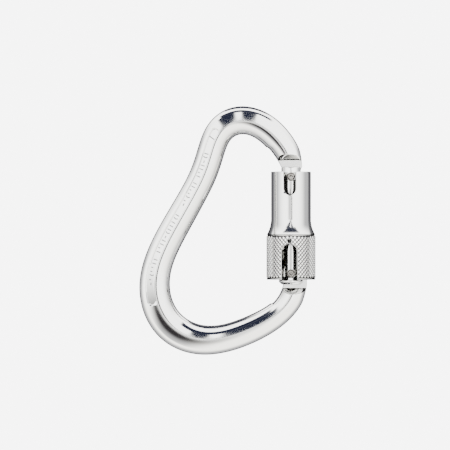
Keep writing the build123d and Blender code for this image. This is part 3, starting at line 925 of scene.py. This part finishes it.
class CARABINER_OT_marks(bpy.types.Operator):
    """Plain etched bars and chevrons along the panel of the spine, with a nick at its top"""

    bl_idname = "carabiner.marks"
    bl_label = "Panel marks"

    def execute(self, context):
        sizes = context.scene.carabiner_bar
        places, middle, width, ahead = bar_line()
        points, faces = [], []

        def stroke(*ends):
            """A thin raised bar on the panel between two ends (place, across), in mm."""
            start, end = np.array(ends, float)
            run = end - start
            side = np.array((-run[1], run[0])) / np.hypot(*run) * STROKE / 2
            flat = np.array([start - side, end - side, end + side, start + side])
            spot_x, spot_z, out_x, out_z, half = (
                np.interp(flat[:, 0], places, values)
                for values in (*middle.T, ahead[:, 1], -ahead[:, 0], width / 2))
            depth = panel_height(flat[:, 1], half, sizes)
            first = len(points)
            for lift in (-0.1, PROUD):
                points.extend(np.c_[spot_x + out_x * flat[:, 1], -(depth + lift),
                                    spot_z + out_z * flat[:, 1]])
            corners = np.array([(0, 1, 2, 3), (7, 6, 5, 4), (0, 4, 5, 1), (1, 5, 6, 2), (2, 6, 7, 3),
                                (3, 7, 4, 0)])
            faces.extend((first + corners).tolist())

        centre = (MARKS_LOW + MARKS_HIGH) / 2
        for count, place in enumerate(np.arange(PANEL_SPAN[0] + 12, PANEL_SPAN[1] - 8, SPACING)):
            kind = (count * count + count // 3) % 7
            if kind in (0, 3):
                stroke((place, MARKS_LOW), (place, MARKS_HIGH))
            elif kind == 1:
                stroke((place - 0.5, MARKS_LOW), (place, centre))
                stroke((place, centre), (place - 0.5, MARKS_HIGH))
            elif kind == 4:
                stroke((place - 0.6, centre), (place + 0.6, centre))
            elif kind == 5:
                stroke((place, centre), (place, MARKS_HIGH))
        stroke((PANEL_SPAN[0] + 4.2, 3.2), (PANEL_SPAN[0] + 4.8, 0.3))
        piece = solid("panel_marks", points, faces, mixed=True)
        settle(piece, "root", None, "aluminium_etched")
        return {"FINISHED"}


# Stage


TENT, BACKDROP = (5.2, 5.2, 5.15), (7.0, 7.0, 7.0)
NAVY, BLACK = (0.028, 0.034, 0.07), (0.05, 0.05, 0.05)


def build_world():
    """Soft light from all round: a bright tent with flags that the polished metal mirrors.

    Each flag is a range of the directions that light comes from. The lean is how far a surface
    leans upwards, as its normal's z, when the camera sees that direction in it, and the slant
    is x over z.
    """
    world = bpy.data.worlds.new("studio")
    bpy.context.scene.world = world
    world.use_nodes = True
    tree = world.node_tree
    tree.nodes.clear()
    place = add_node(tree, "ShaderNodeTexCoord").outputs["Generated"]
    x, y, z = add_node(tree, "ShaderNodeSeparateXYZ", {"Vector": place}).outputs

    def band(value, low, high, soft):
        """1 where the value is between low and high, with soft edges."""
        middle, half = (low + high) / 2, (high - low) / 2
        away = worked_out(tree, "ABSOLUTE", worked_out(tree, "ADD", value, -middle))
        return ramp(tree, away, half - soft / 2, half + soft / 2, 1.0, 0.0,
                    interpolation_type="SMOOTHSTEP")

    def both(*masks):
        """The product of all the masks."""
        return functools.reduce(lambda one, two: worked_out(tree, "MULTIPLY", one, two), masks)

    def spot(centre, radius, soft):
        """1 in the directions near one, with a soft edge."""
        away = worked_out(tree, "DISTANCE", place, centre, kind="ShaderNodeVectorMath", output="Value")
        return band(away, -1.0, radius, soft)

    slant = worked_out(tree, "DIVIDE", x, z)
    turned_from = worked_out(tree, "SQRT", worked_out(tree, "MULTIPLY_ADD", y, -2.0, 2.0))
    lean = worked_out(tree, "DIVIDE", z, turned_from)
    front, low_lean = band(y, -2.0, 0.0, 0.1), band(lean, 0.004, 0.28, 0.02)
    flags = (
        # the floor's warmer light, the dimmer sides behind, and the bright wall straight behind
        (band(z, -2.0, -0.15, 0.3), (4.5, 4.4, 4.15)),
        (both(band(y, -0.4, 2.0, 0.9), band(z, -2.0, 0.5, 0.5)), (0.95, 0.95, 0.98)),
        (band(y, 0.95, 2.0, 0.06), (3.6, 3.6, 3.55)),
        # a grey and a dark patch low in front, which shade the lower left bend
        (spot((-0.22, -0.92, -0.30), 0.2, 0.24), (1.1, 1.1, 1.12)),
        (spot((-0.13, -0.98, -0.14), 0.18, 0.24), (0.05, 0.045, 0.05)),
        # two flags high in front and one above them, for the top's patches and the half-moon
        (both(band(slant, -0.88, -0.2, 0.1), low_lean, front), NAVY),
        (both(band(slant, -0.02, 0.36, 0.05), low_lean, front), NAVY),
        (both(band(slant, -0.72, 0.72, 0.1), band(lean, 0.27, 0.45, 0.03)), NAVY),
        # one overhead, which outlines the top
        (both(band(slant, -0.5, 0.6, 0.2), band(lean, 0.68, 2.0, 0.06)), NAVY),
        # a slit level in front, for the line down the sleeve
        (both(band(x, 0.03, 0.13, 0.02), band(z, -0.07, 0.07, 0.04), front), BLACK),
        # a dark ring behind, which outlines every round edge
        (band(y, 0.45, 0.93, 0.16), (0.28, 0.28, 0.3)),
    )
    light = TENT
    for mask, shade in flags:
        light = add_mix(tree, mask, light, shade)
    camera_sees = add_node(tree, "ShaderNodeLightPath").outputs["Is Camera Ray"]
    shown = add_mix(tree, camera_sees, light, BACKDROP)
    lit = add_node(tree, "ShaderNodeBackground", {"Color": shown}).outputs["Background"]
    add_node(tree, "ShaderNodeOutputWorld", {"Surface": lit})


FLOOR_RADIUS = 1.5  # m


class CARABINER_OT_stage(bpy.types.Operator):
    """A pale floor, soft light all round and a camera straight in front"""

    bl_idname = "carabiner.stage"
    bl_label = "Stage"

    def execute(self, context):
        stage = context.scene.carabiner_stage
        level = CAD_BOX[0][2] - stage.drop
        ring = np.linspace(0, 2 * np.pi, 96, endpoint=False)
        floor = put_mesh("floor", polar(FLOOR_RADIUS, ring, level) / MM, [list(range(96))])
        # A plain matt floor that takes the soft shadow and keeps out of the metal.
        _, shader, _ = blank("pale_floor")
        shader.inputs["Base Color"].default_value = (*context.scene.carabiner_finishes.floor, 1)
        shader.inputs["Roughness"].default_value = 0.6
        floor.data.materials.append(bpy.data.materials["pale_floor"])
        floor.visible_glossy = False
        build_world()
        camera = bpy.data.cameras.new("camera")
        camera.sensor_width = 36.0
        camera.lens = camera.sensor_width * stage.distance / stage.width
        camera.clip_end = 20
        seat = bpy.data.objects.new("camera", camera)
        bpy.context.scene.collection.objects.link(seat)
        seat.location = stage.aim
        seat.location.y -= stage.distance
        seat.rotation_euler = (np.pi / 2, 0, 0)
        bpy.context.scene.camera = seat
        return {"FINISHED"}


class CARABINER_PT_panel(bpy.types.Panel):
    """Lists the pieces in the order in which they are made"""

    bl_idname = "CARABINER_PT_panel"
    bl_label = "Carabiner"
    bl_space_type = "VIEW_3D"
    bl_region_type = "UI"
    bl_category = "Carabiner"

    def draw(self, context):
        for kind in OPERATORS:
            self.layout.operator(kind.bl_idname)


OPERATORS = (CARABINER_OT_stage, CARABINER_OT_body, CARABINER_OT_marks, CARABINER_OT_gate,
             CARABINER_OT_rivets, CARABINER_OT_plunger, CARABINER_OT_springs, CARABINER_OT_rings,
             CARABINER_OT_sleeve)
GROUPS = {"carabiner_bar": BarSizes, "carabiner_gate": GateSizes, "carabiner_sleeve": SleeveSizes,
          "carabiner_finishes": Finishes, "carabiner_stage": StageSizes}


def register():
    """Adds the classes, and the settings to every scene."""
    for kind in (*GROUPS.values(), *OPERATORS, CARABINER_PT_panel):
        bpy.utils.register_class(kind)
    for name, kind in GROUPS.items():
        setattr(bpy.types.Scene, name, PointerProperty(type=kind))


def unregister():
    """Takes away what register adds."""
    for name in GROUPS:
        delattr(bpy.types.Scene, name)
    for kind in (CARABINER_PT_panel, *reversed(OPERATORS), *GROUPS.values()):
        bpy.utils.unregister_class(kind)


def main():
    """Makes every piece in order."""
    register()
    for kind in OPERATORS:
        group, name = kind.bl_idname.split(".")
        getattr(getattr(bpy.ops, group), name)()


if __name__ == "__main__":
    main()
